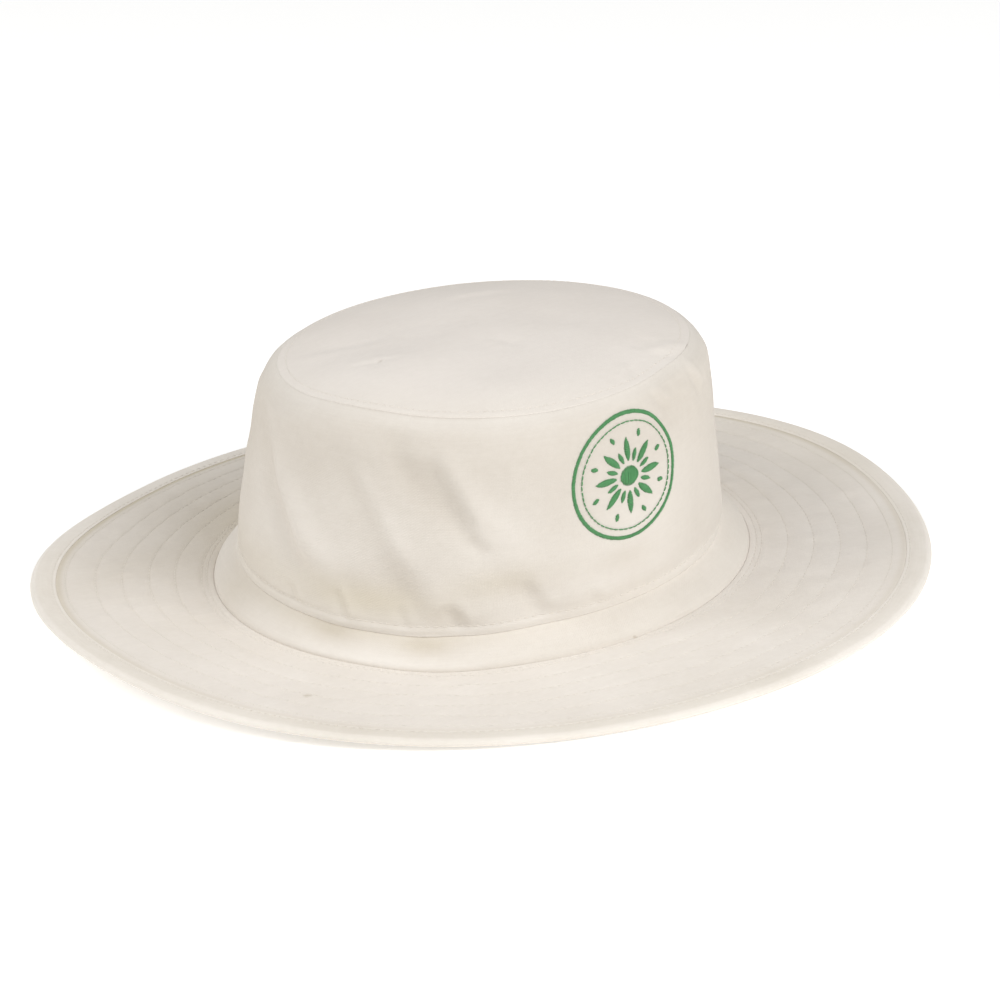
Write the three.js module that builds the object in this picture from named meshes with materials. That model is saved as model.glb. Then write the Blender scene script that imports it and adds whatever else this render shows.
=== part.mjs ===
// A wide-brimmed cotton sun hat, resting on its brim. Millimetres, +Z up, the front towards -Y.
// Angles are in degrees round the hat: 0 at the front, 90 at +X, the wearer's left.
import * as THREE from 'three';

// Facets round every piece, so that neighbours keep an even gap
const SIDES = 90;
const SEAM_GAP = 0.3;

// How far each of two panels stops short of the slanting seam between them
const SEAM_BACK = 0.18;

// Steps round and along a face, over which its outward direction is worked out
const ANGLE_STEP = 1;
const ALONG_STEP = 0.02;

const CLOTH = { crown: 1.8, band: 1.6, brim: 2.4, binding: 3 };

// The oval where the band's foot meets the brim, which slopes gently, up to the wearer's left.
// A sag is a stretch of a seam that hangs lower by a negative depth, or rides up by a positive one.
const FOOT = {
  halfWidth: 96.7, halfLength: 107, x: -1.4, y: -4.1, height: 7.4, riseLeft: 3.7, riseFront: -1.1,
  sags: [{ angle: -42, halfAngle: 15, depth: -1.3 }],
};

// The band is a strip that flares from under the crown's edge, rise above its foot
const BAND = { rise: 10.2, lip: 0.7 };

// The band's outer line, as shares of the way in and up from its foot to the crown's edge
const BAND_LINE = [
  { inward: 0, up: 0 },
  { inward: 0.06, up: 0.15 },
  { inward: 0.3, up: 0.42 },
  { inward: 0.65, up: 0.72 },
  { inward: 1, up: 1 },
];

const BRIM = { halfWidth: 163.8, halfLength: 172.9, bindingWidth: 9.3, bindingProud: 0.25, edgeRound: 1.1 };

// The brim's edge: its height over the table, where its front and back rest while its sides
// curl up, and how far it reaches out past the brim's oval
const BRIM_EDGE = [
  { angle: 0, lift: 0, reach: 0 },
  { angle: 30, lift: 0, reach: 1.4 },
  { angle: 60, lift: 1, reach: 0.6 },
  { angle: 90, lift: 6, reach: -0.6 },
  { angle: 120, lift: 4.6, reach: 0 },
  { angle: 150, lift: 1.2, reach: 0 },
  { angle: 180, lift: 0, reach: 0 },
  { angle: 210, lift: 0.6, reach: 0 },
  { angle: 240, lift: 7, reach: 0.4 },
  { angle: 270, lift: 10, reach: 0.3 },
  { angle: 300, lift: 4.7, reach: 0 },
  { angle: 330, lift: 1, reach: 0 },
];

// The seam round the tip panel, which slopes down to the back, and the panel's dome over it:
// the higher its fullness, the flatter its middle
const TIP = {
  x: 5.1, y: -7.2, height: 87.3, riseLeft: 1.9, riseFront: 3, dome: 8, fullness: 3,
  sags: [
    { angle: -72, halfAngle: 20, depth: 1.7 },
    { angle: -14, halfAngle: 26, depth: -1.3 },
  ],
};

// The crown's level sections: rise 0 is the band's top line, and rise 1 is the tip's seam
const CROWN_SECTIONS = [
  { rise: 0, halfWidth: 86.8, halfLength: 97.6 },
  { rise: 0.14, halfWidth: 85.8, halfLength: 99.2 },
  { rise: 0.5, halfWidth: 82.2, halfLength: 97 },
  { rise: 0.88, halfWidth: 79, halfLength: 91.6 },
  { rise: 0.95, halfWidth: 76.4, halfLength: 88.9 },
  { rise: 1, halfWidth: 72.1, halfLength: 84.6 },
];

// Folds of the crown's side: each runs down and round by lean degrees for a whole rise.
// A ridge stands out by a positive depth, and a valley goes in by a negative one.
const CROWN_FOLDS = [
  { angle: -46, rise: 0.68, lean: -45, halfAngle: 6, halfRise: 0.24, depth: -2.2 },
  { angle: -36, rise: 0.56, lean: -45, halfAngle: 6, halfRise: 0.24, depth: 1.6 },
  { angle: -54, rise: 0.25, lean: -44, halfAngle: 6, halfRise: 0.2, depth: -2.4 },
  { angle: -97, rise: 0.6, lean: -40, halfAngle: 6, halfRise: 0.25, depth: -1.8 },
  { angle: -84, rise: 0.48, lean: -48, halfAngle: 5, halfRise: 0.25, depth: 1.5 },
  { angle: -39, rise: 0.08, lean: 0, halfAngle: 5, halfRise: 0.14, depth: -1.5 },
  { angle: -23, rise: 0.15, lean: -30, halfAngle: 6, halfRise: 0.16, depth: -1.5 },
  { angle: -66, rise: 0.08, lean: 0, halfAngle: 7, halfRise: 0.1, depth: 1.4 },
  { angle: 22, rise: 0.9, lean: 30, halfAngle: 9, halfRise: 0.14, depth: -1.6 },
  { angle: 62, rise: 0.45, lean: 20, halfAngle: 8, halfRise: 0.3, depth: -1.2 },
  { angle: 150, rise: 0.4, lean: 25, halfAngle: 8, halfRise: 0.3, depth: -1.2 },
  { angle: 215, rise: 0.5, lean: -25, halfAngle: 8, halfRise: 0.3, depth: -1.2 },
];

// Dents in the band, deepest at a share of its rise and gone at halfUp from there
const DENT_LINE = { up: 0.5, halfUp: 0.3 };
const BAND_DENTS = [
  { angle: -68, halfAngle: 5, depth: -1.1 },
  { angle: -46, halfAngle: 6, depth: -1.4 },
];

// Soft dents of the tip panel, placed from its middle
const TIP_DENTS = [
  { x: 26, y: -58, radius: 24, depth: -1.6 },
  { x: -36, y: 26, radius: 26, depth: -1.3 },
  { x: 14, y: 34, radius: 30, depth: 1 },
];

// Where each piece has its rows of points
const CROWN_ROWS = [0, 0.07, 0.14, 0.24, 0.35, 0.46, 0.57, 0.68, 0.79, 0.88, 0.94, 0.97, 1];
const TIP_ROWS = [0.3, 0.56, 0.78, 0.92, 1];
const BRIM_ROWS = [0, 0.25, 0.5, 0.75, 1];

const mix = (from, to, share) => from + (to - from) * share;
const bell = (x) => Math.exp(-x * x);

// The shortest turn from one angle to the other
function turnBetween(from, to) {
  return THREE.MathUtils.euclideanModulo(to - from + 180, 360) - 180;
}

// A smooth closed curve through table rows that are evenly spaced round the hat
function roundValue(rows, angle, key) {
  const place = THREE.MathUtils.euclideanModulo(angle, 360) / (360 / rows.length);
  const first = Math.floor(place);
  const [a, b, c, d] = [-1, 0, 1, 2].map((k) => rows[(first + k + rows.length) % rows.length][key]);
  const share = place - first;
  const bend = (2 * a - 5 * b + 4 * c - d) * share + (3 * (b - c) + d - a) * share * share;
  return b + 0.5 * share * (c - a + bend);
}

// A smooth curve through table rows that doesn't overshoot them
function railValue(rows, at, key) {
  const slopes = rows.slice(1).map((row, k) => (row[key] - rows[k][key]) / (row.rise - rows[k].rise));
  const tangent = (k) => {
    if (k === 0) return slopes[0];
    if (k === slopes.length) return slopes[k - 1];
    const product = slopes[k - 1] * slopes[k];
    return product > 0 ? (2 * product) / (slopes[k - 1] + slopes[k]) : 0;
  };
  const last = rows.length - 2;
  const k = Math.min(Math.max(rows.findIndex((row) => row.rise > at) - 1, 0), last);
  const index = at >= rows[last].rise ? last : k;
  const [low, high] = [rows[index], rows[index + 1]];
  const span = high.rise - low.rise;
  const s = (at - low.rise) / span;
  return low[key] * (1 + 2 * s) * (1 - s) ** 2 + high[key] * s * s * (3 - 2 * s)
    + span * (tangent(index) * s * (1 - s) ** 2 - tangent(index + 1) * s * s * (1 - s));
}

function ovalPoint(angle, halfWidth, halfLength) {
  const turn = THREE.MathUtils.degToRad(angle);
  return new THREE.Vector3(halfWidth * Math.sin(turn), -halfLength * Math.cos(turn), 0);
}

// The level direction straight out from an oval
function ovalOut(angle, halfWidth, halfLength) {
  return ovalPoint(angle, halfLength, halfWidth).normalize();
}

// The height of a seam at an angle: its sloping plane, from a middle height and two rises, and its sags
function seamHeight(seam, angle) {
  const turn = THREE.MathUtils.degToRad(angle);
  const plane = seam.height + seam.riseLeft * Math.sin(turn) + seam.riseFront * Math.cos(turn);
  return seam.sags.reduce((height, sag) => (
    height + sag.depth * bell(turnBetween(sag.angle, angle) / sag.halfAngle)), plane);
}

const footOut = (angle) => ovalOut(angle, FOOT.halfWidth, FOOT.halfLength);

// The band's foot, on the brim's upper face
function footPoint(angle) {
  const point = ovalPoint(angle, FOOT.halfWidth, FOOT.halfLength);
  return point.add(new THREE.Vector3(FOOT.x, FOOT.y, seamHeight(FOOT, angle)));
}

// The outline of the brim's edge, at the height of its underside
function edgePoint(angle) {
  const lift = Math.max(0, roundValue(BRIM_EDGE, angle, 'lift'));
  const point = ovalPoint(angle, BRIM.halfWidth, BRIM.halfLength).setZ(lift);
  return point.addScaledVector(footOut(angle), roundValue(BRIM_EDGE, angle, 'reach'));
}

// The sum of the crown's folds at a place on its side
function foldDepth(angle, rise) {
  let depth = 0;
  for (const fold of CROWN_FOLDS) {
    const up = rise - fold.rise;
    const across = turnBetween(fold.angle + fold.lean * up, angle) / fold.halfAngle;
    depth += fold.depth * bell(across) * bell(up / fold.halfRise);
  }
  return depth;
}

// The outer face of the crown's side
function crownPoint(angle, rise) {
  const halfWidth = railValue(CROWN_SECTIONS, rise, 'halfWidth');
  const halfLength = railValue(CROWN_SECTIONS, rise, 'halfLength');
  const point = ovalPoint(angle, halfWidth, halfLength);
  point.addScaledVector(ovalOut(angle, halfWidth, halfLength), foldDepth(angle, rise));
  point.x += mix(FOOT.x, TIP.x, rise);
  point.y += mix(FOOT.y, TIP.y, rise);
  point.z = mix(seamHeight(FOOT, angle) + BAND.rise, seamHeight(TIP, angle), rise);
  return point;
}

// The outer face of the tip panel: reach is 0 at its middle and 1 at its seam
function tipPoint(angle, reach) {
  const point = crownPoint(angle, 1);
  const middle = new THREE.Vector3(TIP.x, TIP.y, TIP.height);
  point.sub(middle).multiplyScalar(reach);
  const fade = 1 - reach ** 4;
  for (const dent of TIP_DENTS) {
    const away = Math.hypot(point.x - dent.x, point.y - dent.y) / dent.radius;
    point.z += fade * dent.depth * bell(away);
  }
  point.z += TIP.dome * (1 - reach ** TIP.fullness);
  return point.add(middle);
}

// The outward direction of a face, from small steps round and along it that stay on the face
function faceOut(face, angle, along) {
  const place = THREE.MathUtils.clamp(along, ALONG_STEP, 1 - ALONG_STEP);
  const round = face(angle + ANGLE_STEP, place).sub(face(angle - ANGLE_STEP, place));
  const up = face(angle, place + ALONG_STEP).sub(face(angle, place - ALONG_STEP));
  return round.cross(up).normalize();
}

const sideOut = (angle, rise) => faceOut(crownPoint, angle, rise);
const tipOut = (angle) => faceOut(tipPoint, angle, 1).negate();

// The direction and depth of the mitred joint between the side and the tip panel
function seamMitre(angle) {
  const side = sideOut(angle, 1);
  const mitre = side.clone().add(tipOut(angle)).normalize();
  return mitre.multiplyScalar(-CLOTH.crown / mitre.dot(side));
}

// A closed ring from its cross-section at each angle
function ringSolid(sectionAt) {
  const positions = [];
  const indices = [];
  let count = 0;
  for (let k = 0; k < SIDES; k += 1) {
    const section = sectionAt((k * 360) / SIDES);
    count = section.length;
    for (const point of section) positions.push(point.x, point.y, point.z);
  }
  for (let k = 0; k < SIDES; k += 1) {
    for (let j = 0; j < count; j += 1) {
      const here = k * count;
      const next = ((k + 1) % SIDES) * count;
      const after = (j + 1) % count;
      indices.push(here + j, next + j, next + after, here + j, next + after, here + after);
    }
  }
  return solidFrom(positions, indices);
}

// A closed panel from the upper and lower middle points and rings of points between them
function panelSolid(upperMiddle, lowerMiddle, sectionAt) {
  const positions = [...upperMiddle.toArray(), ...lowerMiddle.toArray()];
  const middles = 2;
  const indices = [];
  let count = 0;
  for (let k = 0; k < SIDES; k += 1) {
    const section = sectionAt((k * 360) / SIDES);
    count = section.length;
    for (const point of section) positions.push(point.x, point.y, point.z);
  }
  for (let k = 0; k < SIDES; k += 1) {
    const here = middles + k * count;
    const next = middles + ((k + 1) % SIDES) * count;
    indices.push(0, here, next);
    for (let j = 0; j < count - 1; j += 1) {
      indices.push(here + j, here + j + 1, next + j + 1, here + j, next + j + 1, next + j);
    }
    indices.push(1, next + count - 1, here + count - 1);
  }
  return solidFrom(positions, indices);
}

// A geometry whose faces look outward
function solidFrom(positions, indices) {
  const corner = (k) => new THREE.Vector3().fromArray(positions, indices[k] * 3);
  let volume = 0;
  for (let k = 0; k < indices.length; k += 3) {
    volume += corner(k).dot(corner(k + 1).cross(corner(k + 2)));
  }
  if (volume < 0) indices.reverse();
  const geometry = new THREE.BufferGeometry();
  geometry.setAttribute('position', new THREE.Float32BufferAttribute(positions, 3));
  geometry.setIndex(indices);
  geometry.computeVertexNormals();
  return geometry;
}

// The oval tip panel, mitred to the side at its seam
function crownTop() {
  const down = new THREE.Vector3(0, 0, -CLOTH.crown);
  const sectionAt = (angle) => {
    const upper = TIP_ROWS.map((reach) => tipPoint(angle, reach));
    const lower = upper.map((point) => point.clone().add(down));
    const rim = upper.length - 1;
    const inward = upper[rim - 1].clone().sub(upper[rim]).setLength(SEAM_BACK);
    upper[rim].add(inward);
    lower[rim] = upper[rim].clone().add(seamMitre(angle));
    return [...upper, ...lower.reverse()];
  };
  const middle = tipPoint(0, 0);
  return panelSolid(middle, middle.clone().add(down), sectionAt);
}

// The crown's side wall, from the band's top line to the tip's seam
function crownSide() {
  const sectionAt = (angle) => {
    const outer = CROWN_ROWS.map((rise) => crownPoint(angle, rise));
    const inner = CROWN_ROWS.map((rise, k) => (
      outer[k].clone().addScaledVector(sideOut(angle, rise), -CLOTH.crown)
    ));
    const rim = outer.length - 1;
    const back = outer[rim - 1].clone().sub(outer[rim]).setLength(SEAM_BACK);
    outer[rim].add(back);
    inner[0].z = outer[0].z;
    inner[rim] = outer[rim].clone().add(seamMitre(angle));
    return [...outer, ...inner.reverse()];
  };
  return ringSolid(sectionAt);
}

// The flared band: its foot meets the brim, and its top is tucked inside the crown's edge
function hatBand() {
  const tuckRise = CROWN_ROWS[1];
  const sectionAt = (angle) => {
    const out = footOut(angle);
    const dent = BAND_DENTS.reduce((sum, row) => (
      sum + row.depth * bell(turnBetween(row.angle, angle) / row.halfAngle)), 0);
    const foot = footPoint(angle).addScaledVector(out, -SEAM_GAP / 2);
    const edge = crownPoint(angle, 0);
    const top = edge.clone().addScaledVector(out, -BAND.lip);
    top.z -= SEAM_GAP;
    const outer = BAND_LINE.map((row) => {
      const point = foot.clone().lerp(top, row.inward);
      point.z = mix(foot.z, top.z, row.up);
      return point.addScaledVector(out, dent * bell((row.up - DENT_LINE.up) / DENT_LINE.halfUp));
    });
    const tucked = [0, tuckRise].map((rise) => (
      crownPoint(angle, rise).addScaledVector(sideOut(angle, rise), -CLOTH.crown - SEAM_GAP)
    ));
    tucked[0].z = top.z;
    const inside = tucked.map((point) => point.clone().addScaledVector(out, -CLOTH.band)).reverse();
    const innerFoot = foot.clone();
    innerFoot.z -= CLOTH.brim;
    inside[1].z -= CLOTH.band;
    const innerMiddle = outer[2].clone().addScaledVector(out, -CLOTH.band);
    innerMiddle.z -= CLOTH.band;
    return [...outer, ...tucked, ...inside, innerMiddle, innerFoot];
  };
  return ringSolid(sectionAt);
}

// The brim's upper line: share 0 at the band's foot and 1 at the very edge
function brimPoint(angle, share) {
  const foot = footPoint(angle);
  const edge = edgePoint(angle);
  edge.z += CLOTH.binding - BRIM.bindingProud;
  return foot.lerp(edge, share);
}

// The brim's width from the band's foot to its edge, and where its binding starts
const BRIM_WIDTH = BRIM.halfWidth - FOOT.halfWidth;
const BINDING_START = 1 - BRIM.bindingWidth / BRIM_WIDTH;

function brim() {
  const down = new THREE.Vector3(0, 0, -CLOTH.brim);
  const sectionAt = (angle) => {
    const upper = BRIM_ROWS.map((share) => {
      const start = SEAM_GAP / 2 / BRIM_WIDTH;
      const end = BINDING_START - SEAM_GAP / BRIM_WIDTH;
      return brimPoint(angle, mix(start, end, share));
    });
    const lower = upper.map((point) => point.clone().add(down));
    return [...upper, ...lower.reverse()];
  };
  return ringSolid(sectionAt);
}

// The binding: level below, so that it lies on the table, and rounded at the edge
function brimBinding() {
  const sectionAt = (angle) => {
    const start = brimPoint(angle, BINDING_START);
    const middle = brimPoint(angle, mix(BINDING_START, 1, 0.5));
    const edge = edgePoint(angle);
    const out = footOut(angle);
    const round = BRIM.edgeRound;
    const lowStart = start.clone().setZ(edge.z);
    const lowEnd = edge.clone().addScaledVector(out, -round);
    const nose = edge.clone().setZ(edge.z + CLOTH.binding / 2);
    const highEnd = lowEnd.clone().setZ(edge.z + CLOTH.binding);
    start.z += BRIM.bindingProud;
    middle.z += BRIM.bindingProud * 2;
    return [start, middle, highEnd, nose, lowEnd, lowStart];
  };
  return ringSolid(sectionAt);
}

const cotton = (color) => new THREE.MeshStandardMaterial({ color, roughness: 0.95, metalness: 0 });

function piece(name, geometry, color) {
  const mesh = new THREE.Mesh(geometry, cotton(color));
  mesh.name = name;
  return mesh;
}

const hat = new THREE.Group();
hat.add(piece('crown_top', crownTop(), 0xe6e1d8));
hat.add(piece('crown_side', crownSide(), 0xe9e1d4));
hat.add(piece('hat_band', hatBand(), 0xf1eadd));
hat.add(piece('brim', brim(), 0xeae3da));
hat.add(piece('brim_binding', brimBinding(), 0xebe4d9));

export default hat;
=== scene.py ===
# The sun hat as it looks: cream cotton drill with its folds, seams, quilting and stitches.
# Lengths are millimetres and angles degrees until a mesh is made. The front is -Y, at angle 0,
# and the wearer's left is +X, at angle 90.
import math

import bpy
import numpy as np
from mathutils import Matrix, Vector


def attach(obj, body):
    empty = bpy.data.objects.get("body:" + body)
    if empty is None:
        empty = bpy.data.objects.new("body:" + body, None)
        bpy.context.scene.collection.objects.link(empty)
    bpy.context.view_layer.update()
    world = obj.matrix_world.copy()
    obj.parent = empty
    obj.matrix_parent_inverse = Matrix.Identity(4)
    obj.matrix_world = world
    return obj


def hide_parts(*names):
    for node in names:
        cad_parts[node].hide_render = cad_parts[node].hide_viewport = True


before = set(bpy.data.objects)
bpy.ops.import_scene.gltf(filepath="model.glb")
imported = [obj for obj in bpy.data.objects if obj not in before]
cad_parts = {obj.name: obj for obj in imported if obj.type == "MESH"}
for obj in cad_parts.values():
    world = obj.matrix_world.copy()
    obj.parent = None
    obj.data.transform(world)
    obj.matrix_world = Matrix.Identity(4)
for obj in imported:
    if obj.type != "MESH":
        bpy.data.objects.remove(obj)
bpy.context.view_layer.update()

MM = 0.001


def table(columns, *rows):
    """A list of rows with named columns."""
    return [dict(zip(columns.split(), row)) for row in rows]


def named(columns, *rows):
    """Rows with named columns, each under the name that comes first in it."""
    return {row[0]: dict(zip(columns.split(), row[1:])) for row in rows}


# Camera, floor and light

CAMERA = {
    "azimuth": -28.6,
    "elevation": 20.3,
    "roll": -5.0,
    "distance": 1648.0,
    "lens": 160.7,
    "sensor": 36.0,
    "far_clip": 50.0,
    "about": (0.0, 0.0, 30.9),
    "aim_right": 10.26,
    "aim_down": 4.17,
}

WORLD = {"colour": (1.0, 0.995, 0.985), "strength": 0.36}

# Soft square panels that face the hat: their direction from it and their power
LIGHT_PANEL = {"size": 1.3, "distance": 2.3, "faces": (0.0, 0.0, 0.03)}
LIGHTS = table(
    "name azimuth elevation watts",
    ("key", 15, 35, 31.3),
    ("left", -100, 45, 19.8),
    ("back_left", -140, 25, 6.8),
)

# The floor is white paper that glows a little, as on a lit table
FLOOR_HALF = 4.0
PAPER = (0.93, 0.93, 0.925, 1.0)
PAPER_FINISH = {
    "Base Color": PAPER, "Emission Color": PAPER, "Emission Strength": 0.33,
    "Roughness": 0.9, "Specular IOR Level": 0.2,
}


def direction(azimuth, elevation):
    """The unit direction from the hat towards an azimuth and an elevation, in radians."""
    level = math.cos(elevation)
    return Vector((math.sin(azimuth) * level, -math.cos(azimuth) * level, math.sin(elevation)))


def add_object(name, data):
    thing = bpy.data.objects.new(name, data)
    bpy.context.scene.collection.objects.link(thing)
    return thing


def add_camera():
    azimuth, elevation, roll = (math.radians(CAMERA[key]) for key in ("azimuth", "elevation", "roll"))
    back = direction(azimuth, elevation)
    level = Vector((math.cos(azimuth), math.sin(azimuth), 0.0))
    upright = back.cross(level)
    right = level * math.cos(roll) + upright * math.sin(roll)
    up = upright * math.cos(roll) - level * math.sin(roll)
    about = Vector(CAMERA["about"])
    place = about + back * CAMERA["distance"]
    target = about + right * CAMERA["aim_right"] - up * CAMERA["aim_down"]
    backward = (place - target).normalized()
    side = up.cross(backward).normalized()
    turn = Matrix((side, backward.cross(side), backward)).transposed()
    data = bpy.data.cameras.new("camera")
    data.sensor_width = CAMERA["sensor"]
    data.lens = CAMERA["lens"]
    data.clip_end = CAMERA["far_clip"]
    camera = add_object("camera", data)
    camera.matrix_world = Matrix.Translation(place * MM) @ turn.to_4x4()
    bpy.context.scene.camera = camera


def add_lights():
    scene = bpy.context.scene
    scene.view_settings.view_transform = "Standard"
    world = bpy.data.worlds.new("studio")
    world.use_nodes = True
    background = world.node_tree.nodes["Background"]
    background.inputs["Color"].default_value = (*WORLD["colour"], 1.0)
    background.inputs["Strength"].default_value = WORLD["strength"]
    scene.world = world
    for row in LIGHTS:
        toward = direction(math.radians(row["azimuth"]), math.radians(row["elevation"]))
        data = bpy.data.lights.new(row["name"], "AREA")
        data.size = LIGHT_PANEL["size"]
        data.energy = row["watts"]
        light = add_object(row["name"], data)
        light.location = Vector(LIGHT_PANEL["faces"]) + LIGHT_PANEL["distance"] * toward
        light.rotation_euler = toward.to_track_quat("Z", "Y").to_euler()


# Values shared by the shapes, as in the part's source

CLOTH = {"crown": 1.8, "band": 1.6, "brim": 2.4, "binding": 3.0}
SEAM_GAP = 0.3

FOOT = {
    "halfWidth": 96.7, "halfLength": 107.0, "x": -1.4, "y": -4.1,
    "height": 7.4, "riseLeft": 3.7, "riseFront": -1.1,
    "sags": table("angle halfAngle depth", (-42, 15, -1.3)),
}

# The band: its height, its length up its slope, and how far in it has leaned at each share
BAND_RISE = 10.2
BAND_SLOPE = 1.35 * BAND_RISE
BAND_LINE = table("rise inward", (0.0, 0.0), (0.15, 0.06), (0.42, 0.3), (0.72, 0.65), (1.0, 1.0))

BRIM = {"halfWidth": 163.8, "halfLength": 172.9, "bindingWidth": 9.3, "bindingProud": 0.25}
BRIM_WIDTH = BRIM["halfWidth"] - FOOT["halfWidth"]

# The brim's edge every 30 degrees: its height over the table, and its reach past an oval
BRIM_EDGE = table(
    "lift reach",
    (0.0, 0.0), (0.0, 1.4), (1.0, 0.6), (6.0, -0.6), (4.6, 0.0), (1.2, 0.0),
    (0.0, 0.0), (0.6, 0.0), (7.0, 0.4), (10.0, 0.3), (4.7, 0.0), (1.0, 0.0),
)

# The crown's lower edge hangs lower round one angle
LIP_SAG = {"angle": -58, "halfAngle": 42, "depth": -1.6}

TIP = {
    "x": 5.1, "y": -7.2, "height": 87.3, "riseLeft": 1.9, "riseFront": 3.0, "dome": 8.0, "fullness": 3.0,
    "sags": table("angle halfAngle depth", (-72, 20, 1.7), (-14, 26, -1.3)),
}
CROWN_HEIGHT = 70.0
CROWN_SECTIONS = table(
    "rise halfWidth halfLength",
    (0.0, 86.8, 97.6),
    (0.14, 85.8, 99.2),
    (0.5, 82.2, 97.0),
    (0.88, 79.0, 91.6),
    (0.95, 76.4, 88.9),
    (1.0, 72.1, 84.6),
)

# Folds of the crown's side, as in the part's source. A ridge has a positive depth and a valley a
# negative one.
CROWN_FOLDS = table(
    "angle rise lean halfAngle halfRise depth",
    (-46, 0.68, -45, 6, 0.24, -2.2),
    (-36, 0.56, -45, 6, 0.24, 1.6),
    (-54, 0.25, -44, 6, 0.2, -2.4),
    (-97, 0.6, -40, 6, 0.25, -1.8),
    (-84, 0.48, -48, 5, 0.25, 1.5),
    (-39, 0.08, 0, 5, 0.14, -1.5),
    (-23, 0.15, -30, 6, 0.16, -1.5),
    (-66, 0.08, 0, 7, 0.1, 1.4),
    (22, 0.9, 30, 9, 0.14, -1.6),
    (62, 0.45, 20, 8, 0.3, -1.2),
    (150, 0.4, 25, 8, 0.3, -1.2),
    (215, 0.5, -25, 8, 0.3, -1.2),
)

# Creases of the crown's side, from one place to another. The cloth dips before the line and
# stands up sharply after it: width and depth are in millimetres.
CREASES = table(
    "angle rise to_angle to_rise width depth",
    (-48, 0.92, -33, 0.42, 3.3, 1.15),
    (-71, 0.82, -50, 0.26, 3, 0.7),
    (-102.5, 0.68, -73.5, 0.14, 4, 1.25),
    (-57, 0.93, -42, 0.5, 4, 0.6),
    (-38, 0.5, -31.5, 0.4, 2, 0.5),
    (-69.5, 0.2, -63.5, 0.02, 1.6, 0.6),
    (-41.5, 0.19, -35.5, 0.02, 2.3, 0.75),
    (-24, 0.26, -17, 0.04, 2.4, 0.5),
    (-53, 0.16, -49, 0.03, 1.5, 0.35),
    (-84, 0.14, -79, 0.03, 1.5, 0.4),
    (-8, 0.16, -4, 0.03, 1.8, 0.3),
    (14, 0.97, 22, 0.84, 1.8, 0.5),
    (33, 0.98, 38, 0.8, 2.2, 0.6),
    (50, 0.36, 62, 0.03, 3.4, 0.4),
    (92, 0.7, 113, 0.12, 4.6, 0.6),
    (164, 0.58, 182, 0.06, 4.4, 0.55),
    (236, 0.7, 217, 0.12, 4.6, 0.6),
)

# Hollows of the crown's side: where each lies, its reach and its depth
HOLLOWS = table(
    "angle rise halfAngle halfRise depth",
    (-61, 0.17, 13, 0.09, -0.9),
    (-58, 0.36, 6, 0.1, 1.1),
    (-45, 0.15, 6, 0.1, 1.4),
    (-48, 0.9, 24, 0.045, -0.8),
    (-76, 0.72, 12, 0.14, -0.6),
    (-22, 0.17, 9, 0.09, -0.6),
    (-88, 0.13, 9, 0.09, -0.5),
    (-5, 0.12, 9, 0.07, 0.4),
    (120, 0.2, 16, 0.1, -0.6),
    (200, 0.24, 14, 0.1, -0.6),
)

BAND_DENTS = table("angle halfAngle depth", (-68, 5, -1.1), (-46, 6, -1.4))
DENT_LINE = {"up": 0.66, "halfUp": 0.26}

# Dents and fine creases of the tip panel, by their places on the plan
TIP_DENTS = table("x y radius depth", (26, -58, 24, -1.6), (-36, 26, 26, -1.3), (14, 34, 30, 1.0))
TIP_CREASES = table(
    "x y to_x to_y width depth",
    (-54, 34, -18, 4, 3.2, -0.32),
    (-26, 20, 2, -6, 3.2, -0.12),
    (-37, -3, -41, -19, 1.5, 0.3),
    (-50, 0, -30, -18, 1.8, 0.25),
    (18, -86, 27, -74, 1.8, 0.4),
    (58, -69, 38, -75, 3, -0.7),
    (49, -60, 36, -69, 3, 0.4),
    (2, -38, 0, -22, 2.4, 0.3),
    (8, 30, 40, 20, 3, 0.35),
)

# Painted shade along each seam and row of stitches, where shade falls in its groove or step: how dark
# it is at its faintest, and how much darker near one angle. A negative value paints it lighter.
PAINTED_SEAM_SHADES = named(
    "least more angle halfAngle",
    ("foot", -0.12, 0.6, -56, 36),
    ("lip", -0.08, 0.12, -58, 26),
    ("hem", 0.0, 0.45, -92, 17),
    ("tip", 0.0, 0.22, -56, 36),
    ("topstitch", 0.0, 0.06, -80, 12),
    ("quilting", 0.0, 0.18, 170, 85),
    ("tape", 0.08, 0.55, 170, 80),
)

# Where the relief of each seam stands out most, and how little it does elsewhere
SHOWS = named(
    "angle halfAngle least",
    ("hem", -62, 55, 0.3),
    ("tip_seam", -45, 34, 0.1),
    ("quilting", 165, 90, 0.42),
)

# Soft random waves in the cloth: their length and height, and the seed that fixes them
RIPPLES = named(
    "wavelength height seed",
    ("crown_wide", 46.0, 0.25, 5),
    ("crown_fine", 15.0, 0.09, 8),
    ("tip_wide", 52.0, 0.3, 21),
    ("tip_fine", 18.0, 0.09, 22),
    ("band", 26.0, 0.18, 31),
    ("quilting", 9.0, 0.05, 41),
    ("brim", 60.0, 0.35, 42),
    ("tape", 14.0, 0.05, 51),
)

# Quilting rows of the brim, as distances from its edge where it is of mean width.
# The first wanders towards the edge on one side and away from it on the other.
QUILT_ROWS = (13.9, 23.7, 33.5, 43.3, 52.8, 62.5)
ROW_DRIFT = table("angle halfAngle drift", (-122, 34, -1.2), (75, 30, 1.0))
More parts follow.
